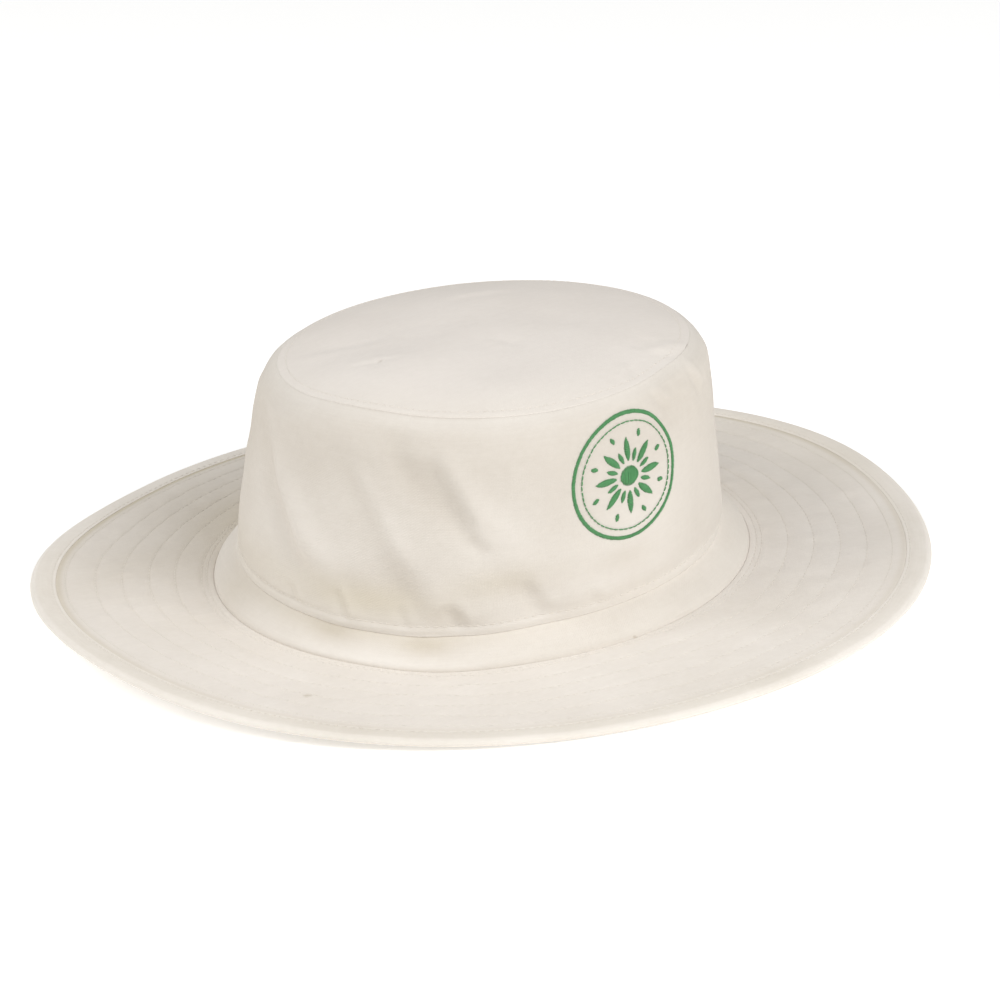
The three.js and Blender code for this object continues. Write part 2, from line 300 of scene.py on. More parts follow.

# Soft patches of painted shade and light: where each lies, its reach, how grey it is and how yellow.
# They paint shade where less light falls, as on the crown's shoulder and sides and on the brim behind
# the crown, and a negative grey paints light, as on the hem's ridge and the band's lower slope. The
# yellow is painted warm shade in hollows and a yellower tint elsewhere. The height is the rise up the
# crown or the band, the reach from the tip's middle or the share of the brim.
PAINTED_TONE_ROWS = {
    "crown": (
        (0, 999, 0.82, 0.3, 0.48, 0),
        (0, 999, 0.99, 0.03, -0.2, 0),
        (0, 999, 0.02, 0.045, -0.25, 0),
        (-122, 16, 0.45, 0.5, 0.35, 0.04),
        (38, 22, 0.4, 0.42, 0.33, 0),
        (-15, 10, 0.5, 0.22, 0.25, 0),
        (-104, 12, 0.4, 0.12, 0.12, 0),
        (0, 8, 0.25, 0.06, 0.2, 0.05),
        (-61, 17, 0.15, 0.08, 0.03, 0.42),
        (-30, 11, 0.25, 0.07, 0.12, 0.22),
        (-84, 16, 0.13, 0.08, -0.18, 0),
        (-43, 6, 0.12, 0.08, -0.12, 0),
        (-98, 36, 0.1, 0.15, -0.05, 0.2),
    ),
    "band": (
        (0, 999, 0.5, 9, 0.2, 0),
        (-58, 26, 0.1, 0.35, -0.36, 0),
        (-68, 42, 1, 0.3, 0.2, 0.2),
        (-68, 5, 0.8, 0.2, 0.05, 0.15),
        (-14, 10, 0.3, 0.5, 0.14, 0),
        (-104, 10, 0.5, 0.5, 0.18, 0.1),
        (-46, 5, 0.75, 0.22, 0.05, 0.2),
    ),
    "brim": (
        (0, 999, 0.5, 9, 0.06, 0),
        (70, 36, 0.6, 0.9, -0.16, 0),
        (-148, 32, 0.3, 0.6, 0.24, 0.07),
        (-160, 28, 0, 0.3, 0.25, 0.25),
        (-112, 12, 0.5, 0.36, 0.18, 0),
        (38, 20, 0, 0.1, -0.2, 0),
        (95, 32, 0.75, 0.35, -0.02, 0.15),
        (82, 22, 0.15, 0.15, 0.04, 0.08),
        (75, 24, 0.42, 0.2, -0.14, 0.05),
        (-172, 20, 0.75, 0.3, 0, 0.08),
    ),
    "tip": (
        (-40, 75, 1, 0.22, -0.06, 0.13),
        (150, 60, 1, 0.3, 0, 0.06),
    ),
    "binding": (
        (80, 50, 0, 9, -0.14, 0),
        (-40, 60, 0, 9, 0.1, 0),
        (-160, 22, 0, 9, -0.22, 0.05),
        (92, 26, 0, 9, 0.02, 0.12),
    ),
}
TONE_COLUMNS = "angle halfAngle height halfHeight grey yellow"
PAINTED_TONES = {piece: table(TONE_COLUMNS, *rows) for piece, rows in PAINTED_TONE_ROWS.items()}

# Painted shade: the tip is painted greyer towards one side, the far one, which slopes away from the lights
TIP_FAR_SHADE = {"angle": 138, "half": 60.0, "grey": 0.42}


# Small maths

def mix(start, end, share):
    return start + (end - start) * share


def bell(x):
    return np.exp(-np.square(x))


def turn_between(start, end):
    return (end - start + 180.0) % 360.0 - 180.0


def near_angle(row, angle):
    """How near an angle is to a row's own, from 0 to 1."""
    return bell(turn_between(row["angle"], angle) / row["halfAngle"])


def round_value(rows, angle, key):
    """A smooth value at an angle, from rows that are evenly spaced round the hat."""
    values = np.array([row[key] for row in rows])
    place = (angle % 360.0) / (360.0 / len(rows))
    first = np.floor(place).astype(int)
    a, b, c, d = (values[(first + k) % len(rows)] for k in (-1, 0, 1, 2))
    share = place - first
    bend = (2 * a - 5 * b + 4 * c - d) * share + (3 * (b - c) + d - a) * share * share
    return b + 0.5 * share * (c - a + bend)


def rail_value(rows, at, key):
    """A smooth value without overshoot, from rows that each have their own rise."""
    places, values = (np.array([row[name] for row in rows], float) for name in ("rise", key))
    slopes = np.diff(values) / np.diff(places)
    product, total = slopes[:-1] * slopes[1:], slopes[:-1] + slopes[1:]
    inner = np.where(product > 0, 2 * product / np.where(total == 0, 1, total), 0)
    tangents = np.concatenate([slopes[:1], inner, slopes[-1:]])
    k = np.clip(np.searchsorted(places, at, side="right") - 1, 0, len(places) - 2)
    span = places[k + 1] - places[k]
    s = (at - places[k]) / span
    return (values[k] * (1 + 2 * s) * (1 - s) ** 2 + values[k + 1] * s * s * (3 - 2 * s)
            + span * (tangents[k] * s * (1 - s) ** 2 - tangents[k + 1] * s * s * (1 - s)))


def unit(vectors):
    return vectors / np.linalg.norm(vectors, axis=-1, keepdims=True)


def lift(points, heights):
    return points + point_at(0.0, 0.0, heights)


def point_at(x, y, z):
    return np.stack(np.broadcast_arrays(x, y, z), -1)


def oval_point(angle, half_width, half_length):
    turn = np.radians(angle)
    return point_at(half_width * np.sin(turn), -half_length * np.cos(turn), 0.0)


def oval_out(angle, half_width, half_length):
    return unit(oval_point(angle, half_length, half_width))


def seam_height(seam, angle):
    turn = np.radians(angle)
    height = seam["height"] + seam["riseLeft"] * np.sin(turn) + seam["riseFront"] * np.cos(turn)
    for sag in seam["sags"]:
        height = height + sag["depth"] * near_angle(sag, angle)
    return height


def ripple(name, points, waves=14):
    """Soft random waves through space, as high as their row says."""
    row = RIPPLES[name]
    random = np.random.default_rng(row["seed"])
    directions = unit(random.normal(size=(waves, 3)))
    lengths = row["wavelength"] * random.uniform(0.75, 1.5, waves)
    phases = random.uniform(0, 2 * math.pi, waves)
    total = np.zeros(points.shape[:-1])
    for heading, length, phase in zip(directions, lengths, phases):
        total += np.sin(points @ heading * (2 * math.pi / length) + phase)
    return row["height"] * total / math.sqrt(waves / 2)


def crease(x, y, run, width, ends):
    """Unit relief of a crease that goes along run from 0, 0: a dip before its line, a ridge after it."""
    length = math.hypot(*run)
    share = (x * run[0] + y * run[1]) / length ** 2
    across = (y * run[0] - x * run[1]) / length / width
    fade = np.clip(share / ends, 0, 1) * np.clip((1 - share) / ends, 0, 1)
    fade = fade * fade * (3 - 2 * fade)
    return fade * (0.75 * bell((across - 1.0) / 1.1) - bell((across + 1.0) / 1.2))


def rolled(distance, radius):
    """How far a surface drops where it rolls over at an edge that is distance away."""
    near = np.clip(radius - distance, 0, radius)
    return radius - np.sqrt(np.maximum(radius * radius - near * near, 0))


def close_ends(count, crowding):
    """Shares from 0 to 1 that crowd together at both ends."""
    t = np.linspace(0, 1, count)
    return t - crowding * np.sin(2 * math.pi * t) / (2 * math.pi)


def painted_seam_shade(name, angle, away, width):
    """How much painted shade a seam's line puts on the cloth at a distance from it, in millimetres."""
    line = PAINTED_SEAM_SHADES[name]
    return (line["least"] + line["more"] * near_angle(line, angle)) * bell(away / width)


def painted_tones_of(piece, angle, height):
    """How grey and how yellow a piece is painted, from its patches of painted shade and light."""
    total = 0.0
    for row in PAINTED_TONES[piece]:
        near = near_angle(row, angle) * bell((height - row["height"]) / row["halfHeight"])
        total = total + near[..., None] * np.array([row["grey"], row["yellow"]])
    return total


def shade_of(sections, tones, *painted_greys):
    """The painted shade and light of all points of the sections: patches on the outer rows, and painted
    greys over them.
    """
    shade = np.zeros(sections.shape[:2] + (2,))
    outer = shade[:, :tones.shape[1]]
    outer += tones
    outer[..., 0] += sum(painted_greys)
    return shade


def shows(name, angle):
    """How strongly a seam's relief stands out, from its least value to one."""
    return mix(SHOWS[name]["least"], 1.0, near_angle(SHOWS[name], angle))


# The faces of the hat

def foot_out(angle):
    return oval_out(angle, FOOT["halfWidth"], FOOT["halfLength"])


def foot_point(angle):
    middle = point_at(FOOT["x"], FOOT["y"], seam_height(FOOT, angle))
    return oval_point(angle, FOOT["halfWidth"], FOOT["halfLength"]) + middle


def edge_point(angle):
    point = oval_point(angle, BRIM["halfWidth"], BRIM["halfLength"])
    point = lift(point, np.maximum(0, round_value(BRIM_EDGE, angle, "lift")))
    return point + foot_out(angle) * round_value(BRIM_EDGE, angle, "reach")[..., None]


def fold_depth(angle, rise):
    depth = 0.0
    for fold in CROWN_FOLDS:
        up = rise - fold["rise"]
        across = turn_between(fold["angle"] + fold["lean"] * up, angle) / fold["halfAngle"]
        depth = depth + fold["depth"] * bell(across) * bell(up / fold["halfRise"])
    return depth


def crown_point(angle, rise):
    halves = [rail_value(CROWN_SECTIONS, rise, key) for key in ("halfWidth", "halfLength")]
    point = oval_point(angle, *halves) + oval_out(angle, *halves) * fold_depth(angle, rise)[..., None]
    lip = seam_height(FOOT, angle) + BAND_RISE + LIP_SAG["depth"] * near_angle(LIP_SAG, angle)
    height = mix(lip, seam_height(TIP, angle), rise)
    return point + point_at(mix(FOOT["x"], TIP["x"], rise), mix(FOOT["y"], TIP["y"], rise), height)


def crown_out(angle, rise):
    return face_out(crown_point, angle, rise)


def tip_point(angle, reach):
    middle = np.array([TIP["x"], TIP["y"], TIP["height"]])
    reach = np.asarray(reach, float)
    point = (crown_point(angle, np.ones_like(reach)) - middle) * reach[..., None]
    height = TIP["dome"] * (1 - reach ** TIP["fullness"])
    for dent in TIP_DENTS:
        away = np.hypot(point[..., 0] - dent["x"], point[..., 1] - dent["y"]) / dent["radius"]
        height = height + (1 - reach ** 4) * dent["depth"] * bell(away)
    return lift(point, height) + middle


def brim_point(angle, share):
    foot = foot_point(angle)
    edge = lift(edge_point(angle), CLOTH["binding"] - BRIM["bindingProud"])
    return foot + (edge - foot) * np.asarray(share)[..., None]


def face_out(face, angle, along, step=0.02):
    """The outward direction of a face whose second value runs up it."""
    place = np.clip(along, step, 1 - step)
    around = face(angle + 1.0, place) - face(angle - 1.0, place)
    up = face(angle, place + step) - face(angle, place - step)
    return unit(np.cross(around, up))


# Meshes from grids of points

def build(name, points, quads, triangles, cloth_mm, shade, material):
    """A mesh object in metres, with its cloth coordinates on the corners and its painted shade and tint on
    the points.
    """
    faces = [tuple(face) for face in quads.tolist()] + [tuple(face) for face in triangles]
    mesh = bpy.data.meshes.new(name)
    mesh.from_pydata((points * MM).tolist(), [], faces)
    mesh.polygons.foreach_set("use_smooth", np.ones(len(faces), bool))
    corner = mesh.attributes.new("cloth_mm", "FLOAT_VECTOR", "CORNER")
    corner.data.foreach_set("vector", cloth_mm.astype(np.float32).ravel())
    for k, tone in enumerate(("grey", "yellow")):
        values = mesh.attributes.new(tone, "FLOAT", "POINT")
        values.data.foreach_set("value", shade[:, k].astype(np.float32))
    mesh.materials.append(material)
    mesh.update()
    return add_object(name, mesh)


def ring(name, sections, cloth, shade, material):
    """A closed ring of sections[k, j]: place k round the hat and point j round the section."""
    points = sections.reshape(-1, 3)
    here = np.arange(len(points)).reshape(sections.shape[:2])
    onward = np.roll(here, -1, 0)
    quads = np.stack([here, onward, np.roll(onward, -1, 1), np.roll(here, -1, 1)], -1).reshape(-1, 4)
    # The cloth grid has one more place and one more point, so that nothing wraps back
    corners = [cloth[:-1, :-1], cloth[1:, :-1], cloth[1:, 1:], cloth[:-1, 1:]]
    corners = np.stack(corners, 2).reshape(-1, 4, 3)
    a, b, c, d = (points[quads[:, k]] for k in range(4))
    inside_out = (a * np.cross(b - d, c)).sum() < 0
    if inside_out:
        quads, corners = quads[:, ::-1], corners[:, ::-1]
    return build(name, points, quads, [], corners.reshape(-1, 3), shade.reshape(-1, 2), material)


def half_turn(start, end, count):
    """Points on the half circle that hangs down from start to end, its ends left out."""
    middle = (start + end) / 2
    reach = (start - end) / 2
    drop = np.linalg.norm(reach, axis=-1)
    turns = np.linspace(0, math.pi, count + 2)[1:-1]
    return np.stack([lift(middle + reach * math.cos(t), -drop * math.sin(t)) for t in turns], 1)


def cloth_grid(sections, length_round):
    """Cloth coordinates for a ring: millimetres round it, and mean millimetres along its section."""
    around, count = sections.shape[:2]
    steps = np.linalg.norm(np.roll(sections, -1, 1) - sections, axis=-1).mean(0)
    grid = np.zeros((around + 1, count + 1, 3))
    grid[..., 0] = np.linspace(0, length_round, around + 1)[:, None]
    grid[:, 1:, 1] = np.cumsum(steps)
    return grid


# Materials

def add_node(tree, kind, inputs=None, **settings):
    node = tree.nodes.new(kind)
    for key, value in settings.items():
        setattr(node, key, value)
    for key, value in (inputs or {}).items():
        if isinstance(value, bpy.types.NodeSocket):
            tree.links.new(value, node.inputs[key])
        else:
            node.inputs[key].default_value = value
    return node


def math_node(tree, operation, a, b):
    return add_node(tree, "ShaderNodeMath", {0: a, 1: b}, operation=operation).outputs[0]


def weighted(tree, parts):
    """The sum of values, each times its weight."""
    total = 0.0
    for value, weight in parts:
        total = math_node(tree, "ADD", total, math_node(tree, "MULTIPLY", value, weight))
    return total


def ranged(tree, value, start, end, low, high):
    """A value carried from the range start to end over to the range low to high."""
    inputs = {"Value": value, "From Min": start, "From Max": end, "To Min": low, "To Max": high}
    return add_node(tree, "ShaderNodeMapRange", inputs).outputs["Result"]


def mixed(tree, share, first, second):
    inputs = {"Factor": share, "A": first, "B": second}
    return add_node(tree, "ShaderNodeMix", inputs, data_type="RGBA").outputs["Result"]


def noise(tree, vector, scale, detail=2.0, roughness=0.5):
    inputs = {"Vector": vector, "Scale": scale, "Detail": detail, "Roughness": roughness}
    return add_node(tree, "ShaderNodeTexNoise", inputs).outputs["Fac"]


def wave(tree, vector, scale, distortion, axis):
    inputs = {"Vector": vector, "Scale": scale, "Distortion": distortion, "Detail": 2.0, "Detail Scale": 0.6}
    return add_node(tree, "ShaderNodeTexWave", inputs, bands_direction=axis).outputs["Fac"]


def set_bump(tree, shader, height, strength, depth_mm):
    inputs = {"Height": height, "Strength": strength, "Distance": depth_mm * MM}
    bump = add_node(tree, "ShaderNodeBump", inputs)
    tree.links.new(bump.outputs["Normal"], shader.inputs["Normal"])


def new_material(name, finish):
    """A material, its node tree, and its shader with the values that are the same all over."""
    material = bpy.data.materials.new(name)
    material.use_nodes = True
    shader = material.node_tree.nodes["Principled BSDF"]
    for key, value in finish.items():
        shader.inputs[key].default_value = value
    return material, material.node_tree, shader


COTTON_FINISH = {"Specular IOR Level": 0.25, "Sheen Weight": 0.12, "Sheen Roughness": 0.5}
THREAD_FINISH = {"Roughness": 0.62, "Specular IOR Level": 0.4}

# The drill's ribs and the yarns that cross them, and their weight in its relief
COTTON_WAVES = named(
    "scale distortion axis relief",
    ("ribs", 0.42, 0.6, "X", 0.35),
    ("yarns", 0.62, 0.5, "Y", 0.2),
)

# The cotton's unevenness: what each part runs over, how it is stretched, how fine and how rough it
# is, and its weight in the relief and in the tone
COTTON_NOISES = named(
    "over stretch scale detail roughness relief tone",
    ("slubs", "cloth", (0.09, 1.3, 1), 1.0, 3.0, 0.6, 0.8, 0.2),
    ("cross_slubs", "cloth", (1.2, 0.1, 1), 1.0, 3.0, 0.6, 0.6, 0.0),
    ("fuzz", "cloth", (1, 1, 1), 1.6, 4.0, 0.65, 0.7, 0.0),
    ("rumple", "place", (1, 1, 1), 95.0, 3.0, 0.55, 3.0, 0.0),
    ("clouds", "place", (1, 1, 1), 22.0, 3.0, 0.5, 0.0, 0.55),
    ("mottle", "cloth", (1, 1, 1), 0.35, 4.0, 0.6, 0.0, 0.25),
)

# Marks on the cloth: where each lies in millimetres, its radius and how dark it is
MARKS = table(
    "at radius dark",
    ((-113.1, -75.9, 5.5), 2.2, 1.05),
    ((-39.0, -11.7, 92.9), 1.4, 0.9),
    ((-1.0, -111.1, 6.3), 1.2, 1.05),
)

# A mark is whole out to one share of its radius and gone at the other, with a ragged edge
MARK = {"whole": 0.4, "gone": 1.5, "ragged": 900.0}

# The yellow-brown that the cotton is mixed towards: painted warm shade in hollows, along the tape and
# behind the crown, and a yellower tint elsewhere
YELLOW_SHADE_TINT = (0.6, 0.53, 0.38)


def cotton(name, clean, greyed, ribs, relief_mm):
    """Matt cotton drill: a twill weave with slubs and soft mottling, and painted shade and light."""
    material, tree, shader = new_material(name, COTTON_FINISH)
    cloth, grey, yellow = (
        add_node(tree, "ShaderNodeAttribute", attribute_name=key).outputs[output]
        for key, output in (("cloth_mm", "Vector"), ("grey", "Fac"), ("yellow", "Fac"))
    )
    place = add_node(tree, "ShaderNodeTexCoord").outputs["Object"]
    turn = {"Vector": cloth, "Angle": math.radians(ribs)}
    turned = add_node(tree, "ShaderNodeVectorRotate", turn, rotation_type="Z_AXIS").outputs["Vector"]
    over = {"cloth": cloth, "place": place, "ribs": turned, "yarns": cloth}
    relief = []
    for part, row in COTTON_WAVES.items():
        value = wave(tree, over[part], row["scale"], row["distortion"], row["axis"])
        relief.append((value, row["relief"]))
    tone = []
    for part, row in COTTON_NOISES.items():
        stretch = {0: over[row["over"]], 1: row["stretch"]}
        stretched = add_node(tree, "ShaderNodeVectorMath", stretch, operation="MULTIPLY").outputs["Vector"]
        value = noise(tree, stretched, row["scale"], row["detail"], row["roughness"])
        relief.append((value, row["relief"]))
        tone.append((value, row["tone"]))
        if part == "fuzz":
            tree.links.new(ranged(tree, value, 0.3, 0.7, 0.86, 0.98), shader.inputs["Roughness"])
    relief, tone = ([part for part in parts if part[1]] for parts in (relief, tone))
    set_bump(tree, shader, weighted(tree, relief), 0.55, relief_mm)
    # How dark the cloth is: clouds and mottling, the painted shade and light of seams, folds and patches,
    # and marks
    amount = math_node(tree, "ADD", ranged(tree, weighted(tree, tone), 0.3, 0.7, 0.0, 0.4), grey)
    for mark in MARKS:
        radius = mark["radius"] * MM
        ends = {0: place, 1: tuple(value * MM for value in mark["at"])}
        away = add_node(tree, "ShaderNodeVectorMath", ends, operation="DISTANCE").outputs["Value"]
        away = weighted(tree, [(away, 1.0), (noise(tree, place, MARK["ragged"]), radius)])
        spot = ranged(tree, away, MARK["whole"] * radius, MARK["gone"] * radius, mark["dark"], 0.0)
        amount = math_node(tree, "ADD", amount, spot)
    amount = add_node(tree, "ShaderNodeClamp", {"Value": amount, "Min": 0.0, "Max": 1.0}).outputs["Result"]
    paint = mixed(tree, amount, (*clean, 1.0), (*greyed, 1.0))
    tree.links.new(mixed(tree, yellow, paint, (*YELLOW_SHADE_TINT, 1.0)), shader.inputs["Base Color"])
    return material


def thread(name, colour, dark, sheen):
    """Spun thread: twisted strands and a little colour variation from stitch to stitch."""
    material, tree, shader = new_material(name, {**THREAD_FINISH, "Sheen Weight": sheen})
    place = add_node(tree, "ShaderNodeTexCoord").outputs["Object"]
    change = noise(tree, place, 260.0, 2.0, 0.6)
    tree.links.new(mixed(tree, change, (*colour, 1.0), (*dark, 1.0)), shader.inputs["Base Color"])
    set_bump(tree, shader, wave(tree, place, 900.0, 1.5, "DIAGONAL"), 0.4, 0.1)
    return material


def add_floor():
    mesh = bpy.data.meshes.new("floor")
    corners = [(x * FLOOR_HALF, y * FLOOR_HALF, 0) for x, y in ((-1, -1), (1, -1), (1, 1), (-1, 1))]
    mesh.from_pydata(corners, [], [(0, 1, 2, 3)])
    mesh.materials.append(new_material("floor_paper", PAPER_FINISH)[0])
    floor = add_object("floor", mesh)


# The crown's side

ANGLES = np.arange(600) * 360.0 / 600

# Rows of points on each piece's outer face and on its inner one, and millimetres of cloth round it
ROWS = {"crown": (116, 24), "tip": (112, 26), "band": (46, 9), "brim": (122, 26)}
ROUND_MM = {"crown": 535.0, "band": 600.0, "binding": 1060.0}

# The tip's seam: how each panel rolls over at it, the gap, and the row of stitches inside it. The
# side is longer than it is high there by its slant.
TIP_SEAM = {"roll": 0.4, "back": 0.04, "topstitch": 3.4, "allowance": 1.9, "slant": 1.3}

# The crown's lower edge: its rounding, its turned-in fold and the row of stitches over it
HEM = {"round": 0.15, "fold": 1.8, "bulge": 0.18, "stitch": 3.5, "groove": 0.1}

# The badge: its middle and its radius, and the dip that its rim draws into the cloth
BADGE = {"angle": 3.0, "rise": 0.63, "radius": 21.6, "dip": 0.18, "dip_width": 1.7}

MM_PER_DEGREE = 1.45

# How much of a crease's length fades out at each end
CREASE_ENDS = {"crown": 0.3, "tip": 0.35}


def crown_mm(angle, rise, to_angle, to_rise):
    """How far one place of the crown's side lies from another, round it and up it."""
    return turn_between(angle, to_angle) * MM_PER_DEGREE, (to_rise - rise) * CROWN_HEIGHT


def crease_depth(angle, rise):
    depth = 0.0
    for row in CREASES:
        run = crown_mm(row["angle"], row["rise"], row["to_angle"], row["to_rise"])
        x, y = crown_mm(row["angle"], row["rise"], angle, rise)
        depth = depth + row["depth"] * crease(x, y, run, row["width"], CREASE_ENDS["crown"])
    for row in HOLLOWS:
        depth = depth + row["depth"] * near_angle(row, angle) * bell((rise - row["rise"]) / row["halfRise"])
    return depth


def crown_detail(angle, rise):
    """Depth of the fine forms of the crown's side, beyond the source's folds."""
    place = crown_point(angle, rise)
    fade = np.clip((rise - 0.02) / 0.08, 0, 1) * np.clip((1 - rise) / 0.08, 0, 1)
    from_badge = np.hypot(*crown_mm(BADGE["angle"], BADGE["rise"], angle, rise))
    stitched = -BADGE["dip"] * bell((from_badge - BADGE["radius"]) / BADGE["dip_width"])
    hem_fade = np.clip((rise - 0.012) / 0.03, 0, 1)
    return (hem_fade * crease_depth(angle, rise) + stitched
            + fade * (ripple("crown_wide", place) + ripple("crown_fine", place)))


def crown_face(angle, rise):
    return crown_point(angle, rise) + crown_out(angle, rise) * crown_detail(angle, rise)[..., None]


def crown_inner(angle, rise):
    return crown_face(angle, rise) - crown_out(angle, rise) * CLOTH["crown"]


def crown_relief(angle, rise):
    """Height of the hem's fold, its row of stitches and the roll at the tip's seam."""
    up = rise * CROWN_HEIGHT
    hem = HEM["bulge"] * bell((up - HEM["fold"]) / 1.1) - HEM["groove"] * bell((up - HEM["stitch"]) / 0.7)
    to_seam = (1 - rise) * CROWN_HEIGHT * TIP_SEAM["slant"]
    return shows("hem", angle) * hem - shows("tip_seam", angle) * rolled(to_seam, TIP_SEAM["roll"])


def crown_outer(angle, rise):
    return crown_face(angle, rise) + crown_out(angle, rise) * crown_relief(angle, rise)[..., None]


def seam_mitre(angle):
    """The step from the tip's seam to the inner corner under it."""
    top = np.ones_like(angle)
    side = crown_out(angle, top)
    mitre = unit(side - face_out(tip_point, angle, top))
    return mitre * (-CLOTH["crown"] / (mitre * side).sum(-1))[:, None]


def crown_side(material):
    angle = ANGLES[:, None]
    rows, inner_rows = ROWS["crown"]
    lip = HEM["round"] / CROWN_HEIGHT
    top = 1 - shows("tip_seam", angle) * TIP_SEAM["back"] / CROWN_HEIGHT
    rise = mix(lip, top, close_ends(rows, 0.72))
    outer = crown_outer(angle, rise)
    inner = crown_inner(angle, np.linspace(0.97, lip, inner_rows) + 0 * angle)
    seam_foot = (crown_point(ANGLES, top[:, 0]) + seam_mitre(ANGLES))[:, None]
    hem = half_turn(inner[:, -1], outer[:, 0], 5)
    low = crown_point(angle, 0 * angle)[..., 2]
    hem[..., 2] = np.maximum(hem[..., 2], low)
    sections = np.concatenate([outer, seam_foot, inner, hem], 1)
    up = rise * CROWN_HEIGHT
    # Painted shade and light: soft patches, lines along the seams and the hem, and the shade of creases and
    # folds
    shade = shade_of(
        sections,
        painted_tones_of("crown", angle, rise),
        painted_seam_shade("tip", angle, CROWN_HEIGHT - up, 0.6),
        painted_seam_shade("lip", angle, up - HEM["stitch"], 0.8),
        painted_seam_shade("hem", angle, up - HEM["stitch"], 0.8),
        painted_seam_shade("lip", angle, up, 0.9),
        # Painted shade in the valleys of the creases and folds, and a little painted light on their ridges
        np.clip(-0.1 * (crease_depth(angle, rise) + fold_depth(angle, rise)), -0.05, 0.3),
    )
    cloth = cloth_grid(sections, ROUND_MM["crown"])
    piece = ring("crown_side_cloth", sections, cloth, shade, material)
    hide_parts("crown_side")
    return piece


# The tip panel

# The tip's reach from its middle to its seam
TIP_REACH = 78.0


def tip_detail(place, reach):
    depth = (1 - reach ** 8) * (ripple("tip_wide", place) + ripple("tip_fine", place))
    for row in TIP_CREASES:
        run = (row["to_x"] - row["x"], row["to_y"] - row["y"])
        x, y = place[..., 0] - row["x"], place[..., 1] - row["y"]
        depth = depth + row["depth"] * crease(x, y, run, row["width"], CREASE_ENDS["tip"])
    return depth


def tip_relief(angle, to_seam):
    """Height of the seam's allowance, its row of stitches and the roll at the seam."""
    allowance = 0.15 * bell((to_seam - TIP_SEAM["allowance"]) / 1.3) - rolled(to_seam, TIP_SEAM["roll"])
    return shows("tip_seam", angle) * allowance - 0.04 * bell((to_seam - TIP_SEAM["topstitch"]) / 0.6)


def tip_outer(angle, reach):
    return lift(tip_face(angle, reach), tip_relief(angle, (1 - reach) * TIP_REACH))


def tip_face(angle, reach):
    point = tip_point(angle, reach)
    return lift(point, tip_detail(point, reach))


def crown_top(material):
    around = 480
    angles = np.arange(around) * 360.0 / around
    angle = angles[:, None]
    rows, inner_rows = ROWS["tip"]
    edge = 1 - shows("tip_seam", angle) * TIP_SEAM["back"] / TIP_REACH
    t = np.linspace(0, 1, rows + 1)[1:]
    reach = t + 0.2 * np.sin(math.pi * t)
    reach = reach / reach[-1] * edge
    outer = tip_outer(angle, reach)
    to_seam = (1 - reach) * TIP_REACH
    inner_reach = np.linspace(0.97, 0.04, inner_rows) + 0 * angle
    inner = lift(tip_face(angle, inner_reach), -CLOTH["crown"])
    seam_foot = (tip_point(angles, edge[:, 0]) + seam_mitre(angles))[:, None]
    sections = np.concatenate([outer, seam_foot, inner], 1)
    count = sections.shape[1]
    upper = tip_face(np.zeros(1), np.zeros(1))
    lower = lift(upper, -CLOTH["crown"])
    points = np.concatenate([sections.reshape(-1, 3), upper, lower])
    here = np.arange(around * count).reshape(around, count)[:, :-1]
    ahead = np.roll(here, -1, 0)
    quads = np.stack([here, here + 1, ahead + 1, ahead], -1).reshape(-1, 4)
    middle = around * count
    pairs = list(zip(here[:, 0].tolist(), ahead[:, 0].tolist()))
    triangles = [(middle, a, b) for a, b in pairs]
    triangles += [(middle + 1, b + count - 1, a + count - 1) for a, b in pairs]
    corners = np.concatenate([points[quads].reshape(-1, 3), points[np.array(triangles)].reshape(-1, 3)])
    # Painted shade and tint in soft patches, and painted shade along the seam and its row of stitches
    shade = shade_of(
        sections,
        painted_tones_of("tip", angle, reach),
        painted_seam_shade("tip", angle, to_seam, 0.6),
        painted_seam_shade("topstitch", angle, to_seam - TIP_SEAM["topstitch"], 0.6),
    )
    shade = np.concatenate([shade.reshape(-1, 2), np.zeros((2, 2))])
    # Painted shade: the tip is painted greyer towards its far side
    turn = math.radians(TIP_FAR_SHADE["angle"])
    far = (points[:, 0] * math.sin(turn) - points[:, 1] * math.cos(turn)) / TIP_FAR_SHADE["half"]
    shade[:, 0] += TIP_FAR_SHADE["grey"] * np.clip(0.5 + 0.5 * far, 0, 1)
    piece = build("crown_top_cloth", points, quads, triangles, corners, shade, material)
    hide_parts("crown_top")
    return piece


# The band

# Half the gap that shows at a seam that is drawn tight
CLOSED_SEAM = 0.02

# How the band's top lies against the crown's lower edge
BAND_TOP = {"inward": 0.06, "below": 0.02}


def band_wrinkle(angle, up):
    place = oval_point(angle + 90, 90, 90)
    dent = sum(row["depth"] * near_angle(row, angle) for row in BAND_DENTS)
    return bell((up - DENT_LINE["up"]) / DENT_LINE["halfUp"]) * (dent + ripple("band", place))


def band_face(angle, up):
    out = foot_out(angle)
    foot = foot_point(angle) - out * CLOSED_SEAM
    top = crown_face(angle, 0 * up) - out * BAND_TOP["inward"]
    top = lift(top, -BAND_TOP["below"])
    inward = rail_value(BAND_LINE, up, "inward")
    point = foot + (top - foot) * inward[..., None]
    point[..., 2] = mix(foot[..., 2], top[..., 2], up)
    return point + out * band_wrinkle(angle, up)[..., None]


